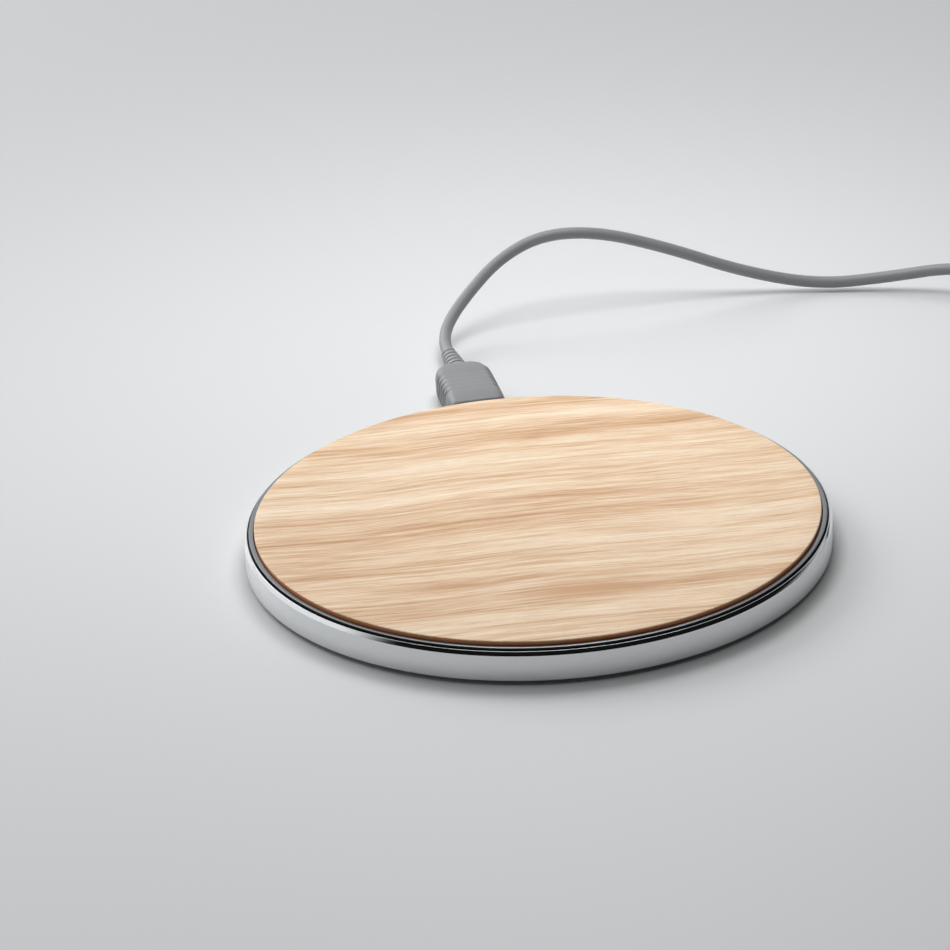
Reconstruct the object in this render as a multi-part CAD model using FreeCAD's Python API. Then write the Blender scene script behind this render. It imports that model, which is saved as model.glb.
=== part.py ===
"""Round wireless charging pad with a wooden top, a metal ring and a detachable USB cord.

Millimetres, +Z up. The origin is the centre of the pad on the surface it stands on, and the
cord leaves the pad along +Y. Each piece is written to parts/NAME.step.
"""
import FreeCAD, Part
import math
import os

# Overall pad
PAD_R = 50.0
PAD_TOP_Z = 7.0
BASE_Z = 0.5                # underside of the base cover, held up by the feet
RING_Z = 0.8                # lower edge of the metal ring
LEDGE_Z = 6.3               # flat ledge round the wood
WOOD_THICK = 1.2
FILM_THICK = 0.1
DECK_THICK = 0.8

# Metal ring
RING_EDGE_BREAK = 0.12
BEVEL_Z = 5.25              # where the outer wall turns into the bevel
BEVEL_TOP_Z = 5.88
BEVEL_IN = 0.4              # how far the bevel leans in
RIM_FLAT = 0.18             # bright edge at the top of the bevel
GROOVE_WIDTH = 0.27
GROOVE_FLOOR_Z = 5.3
LEDGE_INNER_R = 48.35
FLANGE_INNER_R = 46.4
FLANGE_THICK = 0.6
RING_BORE_R = 48.3

# Wood, deck and base
WOOD_R = 48.2
WOOD_EDGE_BREAK = 0.15
DECK_R = 48.25
BASE_LIP_R = 48.8
BASE_LIP_BREAK = 0.15
BASE_PLUG_R = 48.15
BASE_TOP_Z = 1.7
LABEL_RECESS_R = 24.0
LABEL_RECESS_DEPTH = 0.2
BASE_GROOVE_R = 46.9
BASE_GROOVE_WIDTH = 0.5
BASE_GROOVE_DEPTH = 0.25

# Feet
FOOT_R = 4.5
FOOT_RECESS = 0.5
FOOT_CIRCLE_R = 41.0
FOOT_EDGE_BREAK = 0.2

# Screws and their bosses
SCREW_CIRCLE_R = 31.0
SCREW_SHANK_R = 1.0
SCREW_HEAD_R = 1.8
SCREW_HEAD_Z = 0.65
SCREW_SEAT_Z = 1.5
SCREW_END_Z = 4.3
BASE_BOSS_R = 2.9
BASE_BOSS_TOP_Z = 2.5
DECK_BOSS_R = 2.3
DIAGONALS = (45, 135, 225, 315)

# Coil and ferrite
COIL_OUTER_R = 22.0
COIL_INNER_R = 10.25
COIL_THICK = 1.1
COIL_TURNS = 10
COIL_NOTCH = 0.15           # depth of the valley between two turns
FERRITE_R = 25.0
FERRITE_THICK = 0.6
LEAD_R = 0.45
LEAD_X = 1.2
LEAD_PAD_Y = 28.0

# Circuit board
BOARD_Z = 1.9
BOARD_THICK = 0.8
BOARD_OUTER_R = 45.8
BOARD_INNER_R = 26.2
BOARD_CUT_Y = 8.0           # straight edge of the crescent

# Micro-USB socket and plug, both centred on x = 0 at PORT_Z
PORT_Z = 3.3
SHEET = 0.3
PLUG_SHEET = 0.25
PLUG_W = 6.85
PLUG_H = 1.85
RUNNING_GAP = 0.1
SOCKET_BACK_Y = 44.0
SOCKET_MOUTH_Y = 49.6
TONGUE_W = 3.7
TONGUE_Z = 3.35
TONGUE_THICK = 0.5
PLUG_TIP_Y = 44.8
PLUG_BURIED = 3.0           # length of the plug's shell inside its grip
CONTACT_W = 0.4
CONTACT_PITCH = 0.65
LAMP_X = 9.0
LIGHT_PIPE_R = 0.75

# Plug grip and strain relief on the pad's end of the cord
GRIP_Y = 50.7
GRIP_LENGTH = 19.3
GRIP_W = 10.6
GRIP_H = 6.0
GRIP_ROUND = 1.6
RELIEF_LENGTH = 11.0
RELIEF_R = 2.3

# Cord
CORD_D = 2.3
CORD_LENGTH = 1000.0
CORD_R = CORD_D / 2
CORD_EXIT = (0.0, GRIP_Y + GRIP_LENGTH + RELIEF_LENGTH, PORT_Z)

# Put-away coil of cord, wound clockwise seen from above
COIL_CENTRE = (119.0, 52.0)
WINDING_R = 13.0            # middle of the turns
WINDING_PITCH = 2.45        # from one turn to the turn beside it
WINDING_ROWS = 3
WINDING_LAYERS = 3
TIE_ANGLE = 190
TIE_WIDTH = 8.0
TIE_THICK = 0.6

# USB-A plug at the far end, lying flat and pointing along -Y
USB_X = 127.5
USB_Z = 4.0
USB_CORD_Y = 22.0
USB_RELIEF_LENGTH = 8.0
USB_GRIP_LENGTH = 20.0
USB_GRIP_W = 15.7
USB_GRIP_H = 8.0
USB_SHELL_W = 12.0
USB_SHELL_H = 4.5
USB_SHELL_LENGTH = 12.0
USB_SHELL_BURIED = 4.0

# Route of the cord from the strain relief to the coil: it rises in a hump, comes down to the
# table, lifts a little again and then joins the outer bottom turn of the coil.
CORD_ROUTE = [
    CORD_EXIT,
    (0.0, 87.2, 3.3),
    (2.6, 93.1, 4.75),
    (7.5, 97.3, 8.4),
    (14.5, 101.0, 13.2),
    (23.5, 103.0, 16.4),
    (34.8, 103.3, 15.6),
    (48.2, 102.3, 11.1),
    (63.1, 100.1, 4.9),
    (78.1, 97.0, 1.3),
    (91.5, 92.7, 2.9),
    (102.8, 86.9, 5.8),
    (112.0, 79.6, 5.7),
    (121.0, 73.4, 3.8),
    (128.6, 66.3, 1.8),
    (133.0, 58.5, 1.2),
]

# Route from the top of the coil down to the far plug
END_ROUTE = [
    (130.3, 57.2, 8.1),
    (132.2, 51.0, 8.1),
    (132.0, 44.0, 8.1),
    (130.3, 38.0, 6.6),
    (128.3, 32.4, 4.8),
    (USB_X, 27.0, USB_Z),
    (USB_X, USB_CORD_Y, USB_Z),
]

DECK_TOP_Z = PAD_TOP_Z - WOOD_THICK - FILM_THICK
DECK_Z = DECK_TOP_Z - DECK_THICK
COIL_TOP_Z = DECK_Z - FILM_THICK
COIL_Z = COIL_TOP_Z - COIL_THICK
FERRITE_Z = COIL_Z - FERRITE_THICK
BOARD_TOP_Z = BOARD_Z + BOARD_THICK
X_AXIS = FreeCAD.Vector(1, 0, 0)
Y_AXIS = FreeCAD.Vector(0, 1, 0)
Z_AXIS = FreeCAD.Vector(0, 0, 1)


def save(name, shape):
    """Write one sub-part, and stop if it is not made of sound closed solids."""
    if not shape.isValid() or not shape.Solids:
        raise ValueError(name + " is not a valid solid")
    shape.exportStep("parts/" + name + ".step")
    box = shape.BoundBox
    print(f"{name:20s} {len(shape.Solids)} solid(s) {shape.Volume:9.2f} mm3  "
          f"x {box.XMin:.2f}..{box.XMax:.2f}  y {box.YMin:.2f}..{box.YMax:.2f}  "
          f"z {box.ZMin:.2f}..{box.ZMax:.2f}")


def box(x0, x1, y0, y1, z0, z1):
    return Part.makeBox(x1 - x0, y1 - y0, z1 - z0, FreeCAD.Vector(x0, y0, z0))


def block(x, y, z0, length, width, height):
    """Box centred on x, y that stands on z0."""
    return box(x - length / 2, x + length / 2, y - width / 2, y + width / 2, z0, z0 + height)


def disc(radius, z0, z1, x=0.0, y=0.0):
    return Part.makeCylinder(radius, z1 - z0, FreeCAD.Vector(x, y, z0))


def turned(profile):
    """Solid turned about Z from a closed outline of (radius, z) points."""
    points = [FreeCAD.Vector(r, 0, z) for r, z in profile]
    face = Part.Face(Part.makePolygon(points + points[:1]))
    return face.revolve(FreeCAD.Vector(0, 0, 0), Z_AXIS, 360)


def on_circle(radius, degrees):
    angle = math.radians(degrees)
    return radius * math.cos(angle), radius * math.sin(angle)


def joined(shapes):
    """One shape fused from several."""
    return shapes[0].fuse(shapes[1:]).removeSplitter()


def rounded_block(width, length, height, corner, end_break, centre, y0):
    """Block along Y whose long edges are rounded and whose ends are softened."""
    x, z = centre
    shape = box(x - width / 2, x + width / 2, y0, y0 + length, z - height / 2, z + height / 2)
    long_edges = [edge for edge in shape.Edges if abs(edge.tangentAt(0).y) > 0.9]
    shape = shape.makeFillet(corner, long_edges)
    ends = [edge for edge in shape.Edges if edge.BoundBox.YLength < 0.01]
    return shape.makeFillet(end_break, ends)


# ---------------------------------------------------------------- pad: shell

def make_housing_ring():
    bevel_top_r = PAD_R - BEVEL_IN
    groove_outer_r = bevel_top_r - RIM_FLAT
    groove_inner_r = groove_outer_r - GROOVE_WIDTH
    ring = turned([
        (RING_BORE_R, RING_Z),
        (PAD_R - RING_EDGE_BREAK, RING_Z),
        (PAD_R, RING_Z + RING_EDGE_BREAK),
        (PAD_R, BEVEL_Z),
        (bevel_top_r, BEVEL_TOP_Z),
        (groove_outer_r, BEVEL_TOP_Z),
        (groove_outer_r, GROOVE_FLOOR_Z),
        (groove_inner_r, GROOVE_FLOOR_Z),
        (groove_inner_r, LEDGE_Z),
        (LEDGE_INNER_R, LEDGE_Z),
        (LEDGE_INNER_R, DECK_Z),
        (FLANGE_INNER_R, DECK_Z),
        (FLANGE_INNER_R, DECK_Z - FLANGE_THICK),
        (RING_BORE_R, DECK_Z - FLANGE_THICK),
    ])
    port_half_w = PLUG_W / 2 + RUNNING_GAP + SHEET + 0.3
    port_half_h = PLUG_H / 2 + RUNNING_GAP + SHEET + 0.2
    port = box(-port_half_w, port_half_w, RING_BORE_R - 1.0, PAD_R + 1.0,
               PORT_Z - port_half_h, PORT_Z + port_half_h)
    port = port.makeFillet(0.8, [edge for edge in port.Edges if abs(edge.tangentAt(0).y) > 0.9])
    flange_notch = box(-port_half_w, port_half_w, FLANGE_INNER_R - 1.0, RING_BORE_R - 0.05,
                       RING_Z, DECK_Z + 0.1)
    pipe_hole = Part.makeCylinder(LIGHT_PIPE_R + 0.05, 8.0,
                                  FreeCAD.Vector(LAMP_X, FLANGE_INNER_R - 2.0, PORT_Z), Y_AXIS)
    return ring.cut([port, flange_notch, pipe_hole])


def make_wood_top():
    bottom = DECK_TOP_Z + FILM_THICK
    return turned([
        (0, bottom),
        (WOOD_R, bottom),
        (WOOD_R, PAD_TOP_Z - WOOD_EDGE_BREAK),
        (WOOD_R - WOOD_EDGE_BREAK, PAD_TOP_Z),
        (0, PAD_TOP_Z),
    ])


def make_top_deck():
    rib = disc(COIL_OUTER_R + 1.2, DECK_Z - 0.8, DECK_Z).cut(
        disc(COIL_OUTER_R + 0.4, DECK_Z - 0.8, DECK_Z))
    pieces = [disc(DECK_R, DECK_Z, DECK_TOP_Z), rib]
    bores = []
    for degrees in DIAGONALS:
        x, y = on_circle(SCREW_CIRCLE_R, degrees)
        pieces.append(disc(DECK_BOSS_R, BASE_BOSS_TOP_Z, DECK_Z, x, y))
        bores.append(disc(SCREW_SHANK_R, BASE_BOSS_TOP_Z, SCREW_END_Z + 0.3, x, y))
    return joined(pieces).cut(bores)


def make_base_cover():
    body = turned([
        (0, BASE_Z),
        (BASE_LIP_R - BASE_LIP_BREAK, BASE_Z),
        (BASE_LIP_R, BASE_Z + BASE_LIP_BREAK),
        (BASE_LIP_R, RING_Z),
        (BASE_PLUG_R, RING_Z),
        (BASE_PLUG_R, BASE_TOP_Z),
        (0, BASE_TOP_Z),
    ])
    bosses = []
    cuts = [disc(LABEL_RECESS_R, BASE_Z, BASE_Z + LABEL_RECESS_DEPTH)]
    groove = disc(BASE_GROOVE_R, BASE_Z, BASE_Z + BASE_GROOVE_DEPTH)
    cuts.append(groove.cut(disc(BASE_GROOVE_R - BASE_GROOVE_WIDTH, BASE_Z,
                                BASE_Z + BASE_GROOVE_DEPTH)))
    for degrees in DIAGONALS:
        x, y = on_circle(SCREW_CIRCLE_R, degrees)
        bosses.append(disc(BASE_BOSS_R, BASE_TOP_Z, BASE_BOSS_TOP_Z, x, y))
        cuts.append(disc(SCREW_HEAD_R + 0.15, BASE_Z, SCREW_SEAT_Z, x, y))
        cuts.append(disc(SCREW_SHANK_R + 0.1, SCREW_SEAT_Z, BASE_BOSS_TOP_Z, x, y))
        x, y = on_circle(FOOT_CIRCLE_R, degrees)
        cuts.append(disc(FOOT_R + 0.1, BASE_Z, BASE_Z + FOOT_RECESS, x, y))
    for degrees in (30, 62, 118, 150):
        x, y = on_circle(BOARD_OUTER_R - 2.5, degrees)
        bosses.append(disc(1.4, BASE_TOP_Z, BOARD_Z, x, y))
    return joined([body] + bosses).cut(cuts)


def make_base_screws():
    screws = []
    for degrees in DIAGONALS:
        x, y = on_circle(SCREW_CIRCLE_R, degrees)
        head = disc(SCREW_HEAD_R, SCREW_HEAD_Z, SCREW_SEAT_Z, x, y)
        shank = disc(SCREW_SHANK_R, SCREW_SEAT_Z, SCREW_END_Z, x, y)
        slots = [block(x, y, SCREW_HEAD_Z, 2.0, 0.45, 0.5), block(x, y, SCREW_HEAD_Z, 0.45, 2.0, 0.5)]
        screws.append(head.fuse(shank).cut(slots).removeSplitter())
    return Part.makeCompound(screws)


def make_foot(degrees):
    x, y = on_circle(FOOT_CIRCLE_R, degrees)
    foot = turned([
        (0, 0),
        (FOOT_R - FOOT_EDGE_BREAK, 0),
        (FOOT_R, FOOT_EDGE_BREAK),
        (FOOT_R, BASE_Z + FOOT_RECESS),
        (0, BASE_Z + FOOT_RECESS),
    ])
    foot.translate(FreeCAD.Vector(x, y, 0))
    return foot


# ---------------------------------------------------------------- pad: coil and board

def make_transmit_coil():
    """Flat coil: a ring whose two faces dip between each turn and the next."""
    pitch = (COIL_OUTER_R - COIL_INNER_R) / COIL_TURNS
    upper = []
    for turn in range(COIL_TURNS):
        inner = COIL_INNER_R + turn * pitch
        upper.append((inner, COIL_TOP_Z - COIL_NOTCH))
        upper.append((inner + 0.2 * pitch, COIL_TOP_Z))
        upper.append((inner + 0.8 * pitch, COIL_TOP_Z))
    upper.append((COIL_OUTER_R, COIL_TOP_Z - COIL_NOTCH))
    middle_z = (COIL_TOP_Z + COIL_Z) / 2
    lower = [(r, 2 * middle_z - z) for r, z in reversed(upper)]
    return turned(upper + lower)


def make_ferrite_shield():
    slot = box(-LEAD_X - 1.3, LEAD_X + 1.3, COIL_INNER_R - 1.0, FERRITE_R + 1.0, FERRITE_Z, COIL_Z)
    return disc(FERRITE_R, FERRITE_Z, COIL_Z).cut(slot)


def make_coil_leads():
    leads = []
    z = COIL_Z - LEAD_R
    for x, start_y in ((-LEAD_X, COIL_INNER_R + 0.6), (LEAD_X, COIL_OUTER_R - 1.0)):
        run = Part.makeCylinder(LEAD_R, LEAD_PAD_Y - start_y, FreeCAD.Vector(x, start_y, z), Y_AXIS)
        drop = disc(LEAD_R, BOARD_TOP_Z, z, x, LEAD_PAD_Y)
        bend = Part.makeSphere(LEAD_R, FreeCAD.Vector(x, LEAD_PAD_Y, z))
        leads.append(joined([run, drop, bend]))
    return Part.makeCompound(leads)


def make_main_board():
    board = disc(BOARD_OUTER_R, BOARD_Z, BOARD_TOP_Z).cut(disc(BOARD_INNER_R, BOARD_Z, BOARD_TOP_Z))
    lower_half = box(-60, 60, -60, BOARD_CUT_Y, BOARD_Z, BOARD_TOP_Z)
    socket_notch = box(-4.2, 4.2, SOCKET_BACK_Y - 0.3, 50, BOARD_Z, BOARD_TOP_Z)
    holes = []
    for degrees in DIAGONALS[:2]:
        x, y = on_circle(SCREW_CIRCLE_R, degrees)
        holes.append(disc(BASE_BOSS_R + 0.3, BOARD_Z, BOARD_TOP_Z, x, y))
    return board.cut([lower_half, socket_notch] + holes)


def chips(places, length, width, height):
    """Identical components standing on the board."""
    return Part.makeCompound([block(x, y, BOARD_TOP_Z, length, width, height) for x, y in places])


def make_bridge_chips():
    """Two eight-legged driver chips with gull-wing legs joined to the body."""
    packages = []
    for x, y in ((-12.5, 33.0), (-20.5, 31.5)):
        pieces = [block(x, y, BOARD_TOP_Z + 0.15, 4.9, 3.9, 1.35)]
        for side in (-1, 1):
            for leg in range(4):
                leg_x = x + (leg - 1.5) * 1.27
                pieces.append(block(leg_x, y + side * 2.3, BOARD_TOP_Z, 0.4, 1.2, 0.3))
        packages.append(joined(pieces))
    return Part.makeCompound(packages)


def make_light_pipe():
    """Clear rod from the lamp to the ring's outer face, its end cut to the ring's curve."""
    start_y = SOCKET_BACK_Y + 1.5
    rod = Part.makeCylinder(LIGHT_PIPE_R, 8.0, FreeCAD.Vector(LAMP_X, start_y, PORT_Z), Y_AXIS)
    return rod.common(disc(PAD_R, 0, PAD_TOP_Z))


# ---------------------------------------------------------------- socket and plug

def port_outline(width, height, y):
    """Micro-USB outline facing +Y: square above, with its two lower corners cut away."""
    half_w = width / 2
    half_h = height / 2
    cut = 0.3 * height
    corners = [
        (-half_w, half_h),
        (half_w, half_h),
        (half_w, cut - half_h + 0.35),
        (half_w - cut, -half_h),
        (cut - half_w, -half_h),
        (-half_w, cut - half_h + 0.35),
    ]
    points = [FreeCAD.Vector(x, y, PORT_Z + z) for x, z in corners]
    return Part.Face(Part.makePolygon(points + points[:1]))


def port_bar(width, height, y0, y1):
    return port_outline(width, height, y0).extrude(FreeCAD.Vector(0, y1 - y0, 0))


SOCKET_BORE_W = PLUG_W + 2 * RUNNING_GAP
SOCKET_BORE_H = PLUG_H + 2 * RUNNING_GAP


def make_socket_shell():
    outer = port_bar(SOCKET_BORE_W + 2 * SHEET, SOCKET_BORE_H + 2 * SHEET,
                     SOCKET_BACK_Y, SOCKET_MOUTH_Y)
    bore = port_bar(SOCKET_BORE_W, SOCKET_BORE_H, SOCKET_BACK_Y, SOCKET_MOUTH_Y)
    side_x = SOCKET_BORE_W / 2 + SHEET
    tabs = []
    for x0, x1 in ((side_x - 0.15, side_x + 1.2), (-side_x - 1.2, 0.15 - side_x)):
        tabs.append(box(x0, x1, SOCKET_BACK_Y + 0.3, SOCKET_BACK_Y + 1.3,
                        BOARD_TOP_Z, BOARD_TOP_Z + SHEET))
    return joined([outer] + tabs).cut(bore)


def contact_strips(y0, y1, z0, z1):
    strips = []
    for index in range(5):
        x = (index - 2) * CONTACT_PITCH
        strips.append(box(x - CONTACT_W / 2, x + CONTACT_W / 2, y0, y1, z0, z1))
    return strips


def make_socket_contacts():
    """Five contacts under the tongue, each with a tail that steps down to the board."""
    runs = contact_strips(SOCKET_BACK_Y - 0.1, SOCKET_BACK_Y + 4.4, TONGUE_Z - 0.08, TONGUE_Z)
    drops = contact_strips(SOCKET_BACK_Y - 0.1, SOCKET_BACK_Y, BOARD_TOP_Z, TONGUE_Z)
    tails = contact_strips(SOCKET_BACK_Y - 1.2, SOCKET_BACK_Y, BOARD_TOP_Z, BOARD_TOP_Z + 0.1)
    return Part.makeCompound([joined(list(pieces)) for pieces in zip(runs, drops, tails)])


def make_socket_tongue(contacts):
    back = port_bar(SOCKET_BORE_W, SOCKET_BORE_H, SOCKET_BACK_Y, SOCKET_BACK_Y + 0.6)
    tongue = box(-TONGUE_W / 2, TONGUE_W / 2, SOCKET_BACK_Y, SOCKET_BACK_Y + 4.9,
                 TONGUE_Z, TONGUE_Z + TONGUE_THICK)
    return back.fuse(tongue).cut(contacts).removeSplitter()


def make_plug_shell():
    outer = port_bar(PLUG_W, PLUG_H, PLUG_TIP_Y, GRIP_Y + PLUG_BURIED)
    bore = port_bar(PLUG_W - 2 * PLUG_SHEET, PLUG_H - 2 * PLUG_SHEET,
                    PLUG_TIP_Y, GRIP_Y + PLUG_BURIED)
    return outer.cut(bore)


PLUG_CONTACT_TOP_Z = TONGUE_Z - 0.14
PLUG_CONTACT_THICK = 0.1


def make_plug_contacts():
    return Part.makeCompound(contact_strips(PLUG_TIP_Y + 0.6, PLUG_TIP_Y + 4.6,
                                            PLUG_CONTACT_TOP_Z - PLUG_CONTACT_THICK,
                                            PLUG_CONTACT_TOP_Z))


def make_plug_insulator(contacts):
    """Filling of the plug's shell, with the slot that takes the socket's tongue."""
    body = port_bar(PLUG_W - 2 * PLUG_SHEET, PLUG_H - 2 * PLUG_SHEET,
                    PLUG_TIP_Y + 0.1, GRIP_Y + PLUG_BURIED)
    slot = box(-TONGUE_W / 2 - 0.3, TONGUE_W / 2 + 0.3, PLUG_TIP_Y, PLUG_TIP_Y + 5.2,
               PLUG_CONTACT_TOP_Z - 0.04, PORT_Z + PLUG_H)
    return body.cut([slot, contacts]).removeSplitter()


def make_plug_grip():
    grip = rounded_block(GRIP_W, GRIP_LENGTH, GRIP_H, GRIP_ROUND, 0.5, (0.0, PORT_Z), GRIP_Y)
    cuts = [port_bar(PLUG_W, PLUG_H, GRIP_Y, GRIP_Y + PLUG_BURIED)]
    for side in (-1, 1):
        for rib in range(5):
            y = GRIP_Y + 6.0 + rib * 1.8
            cuts.append(block(side * GRIP_W / 2, y, PORT_Z - 1.5, 0.7, 0.8, 3.0))
    return grip.cut(cuts)


def make_relief(root_r, length, ribs):
    """Tapered, ribbed strain relief from z = 0, standing on its wide end."""
    profile = [(0, 0)]
    tip_r = CORD_R + 0.3
    pitch = length / ribs
    for rib in range(ribs):
        radius = root_r + (tip_r - root_r) * rib / (ribs - 1)
        profile.append((radius, rib * pitch))
        profile.append((radius, (rib + 0.62) * pitch))
        if rib < ribs - 1:
            neck = max(radius - 0.45, tip_r - 0.1)
            profile.append((neck, (rib + 0.62) * pitch))
            profile.append((neck, (rib + 1.0) * pitch))
    profile.append((tip_r, length))
    profile.append((0, length))
    return turned(profile)


def make_strain_relief():
    relief = make_relief(RELIEF_R, RELIEF_LENGTH, 6)
    relief.rotate(FreeCAD.Vector(0, 0, 0), X_AXIS, -90)
    relief.translate(FreeCAD.Vector(0, GRIP_Y + GRIP_LENGTH, PORT_Z))
    return relief


# ---------------------------------------------------------------- cord

def cord_tube(route, name):
    """Round cord swept along straight runs joined by tangent arcs."""
    points = [FreeCAD.Vector(*point) for point in route]
    edges = []
    radii = []
    start = points[0]
    for before, corner, after in zip(points, points[1:], points[2:]):
        incoming = (corner - before).normalize()
        outgoing = (after - corner).normalize()
        reach = 0.45 * min((corner - before).Length, (after - corner).Length)
        turn = incoming.getAngle(outgoing)
        radii.append(reach / math.tan(turn / 2))
        entry = corner - incoming * reach
        leave = corner + outgoing * reach
        inward = (outgoing - incoming).normalize()
        middle = corner + inward * (radii[-1] / math.cos(turn / 2) - radii[-1])
        edges.append(Part.LineSegment(start, entry).toShape())
        edges.append(Part.Arc(entry, middle, leave).toShape())
        start = leave
    edges.append(Part.LineSegment(start, points[-1]).toShape())
    path = Part.Wire(edges)
    section = Part.Wire(Part.makeCircle(CORD_R, points[0], points[1] - points[0]))
    tube = path.makePipeShell([section], True, False)
    expected = math.pi * CORD_R ** 2 * path.Length
    print(f"{name}: length {path.Length:.1f}, volume ratio {tube.Volume / expected:.4f}, radii "
          + " ".join(f"{radius:.1f}" for radius in radii))
    return tube, path.Length


def make_cable_coil():
    """Closed ring with rounded edges round all the turns of the put-away cord."""
    half_w = ((WINDING_ROWS - 1) * WINDING_PITCH + CORD_D) / 2
    height = WINDING_LAYERS * CORD_D
    ring = disc(WINDING_R + half_w, 0, height).cut(disc(WINDING_R - half_w, 0, height))
    ring = ring.makeFillet(0.8, [edge for edge in ring.Edges if edge.BoundBox.ZLength < 0.01])
    ring.translate(FreeCAD.Vector(COIL_CENTRE[0], COIL_CENTRE[1], 0))
    return ring


def make_cable_tie():
    """Strap round the coil's section, its underside on the table."""
    half_w = ((WINDING_ROWS - 1) * WINDING_PITCH + CORD_D) / 2
    height = WINDING_LAYERS * CORD_D
    strap = box(WINDING_R - half_w - TIE_THICK, WINDING_R + half_w + TIE_THICK,
                -TIE_WIDTH / 2, TIE_WIDTH / 2, 0, height + TIE_THICK)
    strap = strap.makeFillet(1.0, [edge for edge in strap.Edges if abs(edge.tangentAt(0).y) > 0.9])
    inside = box(WINDING_R - half_w, WINDING_R + half_w, -TIE_WIDTH / 2, TIE_WIDTH / 2,
                 TIE_THICK, height)
    strap = strap.cut(inside)
    strap.rotate(FreeCAD.Vector(0, 0, 0), Z_AXIS, TIE_ANGLE)
    strap.translate(FreeCAD.Vector(COIL_CENTRE[0], COIL_CENTRE[1], 0))
    return strap


# ---------------------------------------------------------------- far plug

USB_GRIP_BACK_Y = USB_CORD_Y - USB_RELIEF_LENGTH
USB_GRIP_FRONT_Y = USB_GRIP_BACK_Y - USB_GRIP_LENGTH
USB_TIP_Y = USB_GRIP_FRONT_Y - USB_SHELL_LENGTH
USB_BURIED_Y = USB_GRIP_FRONT_Y + USB_SHELL_BURIED


def usb_bar(inset, y0, y1):
    half_w = USB_SHELL_W / 2 - inset
    half_h = USB_SHELL_H / 2 - inset
    return box(USB_X - half_w, USB_X + half_w, y0, y1, USB_Z - half_h, USB_Z + half_h)


def make_usb_a_relief():
    relief = make_relief(2.6, USB_RELIEF_LENGTH, 5)
    relief.rotate(FreeCAD.Vector(0, 0, 0), X_AXIS, -90)
    relief.translate(FreeCAD.Vector(USB_X, USB_GRIP_BACK_Y, USB_Z))
    return relief


def make_usb_a_grip():
    grip = rounded_block(USB_GRIP_W, USB_GRIP_LENGTH, USB_GRIP_H, 2.2, 0.8,
                         (USB_X, USB_Z), USB_GRIP_FRONT_Y)
    return grip.cut(usb_bar(0, USB_GRIP_FRONT_Y, USB_BURIED_Y))


def make_usb_a_shell():
    shell = usb_bar(0, USB_TIP_Y, USB_BURIED_Y).cut(usb_bar(SHEET, USB_TIP_Y, USB_BURIED_Y))
    windows = [block(USB_X + side * 2.9, USB_TIP_Y + 6.4, 0, 2.5, 2.0, 2 * USB_Z) for side in (-1, 1)]
    return shell.cut(windows)


def make_usb_a_contacts():
    strips = []
    top = USB_Z - 0.05
    for x, length in ((-3.5, 8.4), (-1.25, 7.4), (1.25, 7.4), (3.5, 8.4)):
        strips.append(box(USB_X + x - 0.5, USB_X + x + 0.5, USB_TIP_Y + 1.2,
                          USB_TIP_Y + 1.2 + length, top - 0.2, top))
    return Part.makeCompound(strips)


def make_usb_a_insulator(contacts):
    lower = USB_Z - USB_SHELL_H / 2 + SHEET
    body = box(USB_X - USB_SHELL_W / 2 + SHEET, USB_X + USB_SHELL_W / 2 - SHEET,
               USB_TIP_Y + 0.3, USB_BURIED_Y, lower, USB_Z - 0.1)
    return body.cut(contacts)


# ---------------------------------------------------------------- write every piece

os.makedirs("parts", exist_ok=True)

save("housing_ring", make_housing_ring())
save("wood_top", make_wood_top())
save("wood_adhesive", disc(WOOD_R - 0.6, DECK_TOP_Z, DECK_TOP_Z + FILM_THICK))
save("top_deck", make_top_deck())
save("base_cover", make_base_cover())
save("base_screws", make_base_screws())
for number, foot_angle in enumerate(DIAGONALS, 1):
    save(f"foot_{number}", make_foot(foot_angle))

save("transmit_coil", make_transmit_coil())
save("coil_adhesive", disc(COIL_OUTER_R, COIL_TOP_Z, DECK_Z).cut(disc(COIL_INNER_R, COIL_TOP_Z, DECK_Z)))
save("ferrite_shield", make_ferrite_shield())
save("coil_leads", make_coil_leads())
save("main_board", make_main_board())
save("controller_chip", chips([(15.0, 33.5)], 5.0, 5.0, 0.9))
save("bridge_chips", make_bridge_chips())
save("resonant_capacitors", chips([(-6.0, 32.0), (-6.0, 36.0), (6.0, 32.0), (6.0, 36.0)], 3.2, 2.5, 1.8))
save("input_inductor", chips([(-13.0, 39.5)], 4.0, 4.0, 1.8))
save("input_capacitors", chips([(-8.0, 41.5), (-18.5, 37.5), (8.5, 40.5)], 3.2, 1.6, 1.2))
save("chip_resistors", chips([(11.0, 29.0), (14.0, 29.0), (11.0, 37.5), (14.0, 38.5), (19.5, 36.0),
                              (20.5, 33.0), (27.5, 27.0), (29.5, 24.0), (-27.5, 27.0), (-29.5, 24.0)],
                             1.6, 0.8, 0.5))
save("indicator_lamp", chips([(LAMP_X, SOCKET_BACK_Y - 0.4)], 1.6, 0.8, 1.1))
save("light_pipe", make_light_pipe())

socket_contacts = make_socket_contacts()
save("socket_shell", make_socket_shell())
save("socket_contacts", socket_contacts)
save("socket_tongue", make_socket_tongue(socket_contacts))

plug_contacts = make_plug_contacts()
save("plug_shell", make_plug_shell())
save("plug_contacts", plug_contacts)
save("plug_insulator", make_plug_insulator(plug_contacts))
save("plug_grip", make_plug_grip())
save("strain_relief", make_strain_relief())

cable, cable_length = cord_tube(CORD_ROUTE, "cable")
cable_end, end_length = cord_tube(END_ROUTE, "cable_end")
save("cable", cable)
save("cable_end", cable_end)
save("cable_coil", make_cable_coil())
save("cable_tie", make_cable_tie())

usb_a_contacts = make_usb_a_contacts()
save("usb_a_relief", make_usb_a_relief())
save("usb_a_grip", make_usb_a_grip())
save("usb_a_shell", make_usb_a_shell())
save("usb_a_contacts", usb_a_contacts)
save("usb_a_insulator", make_usb_a_insulator(usb_a_contacts))

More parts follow.
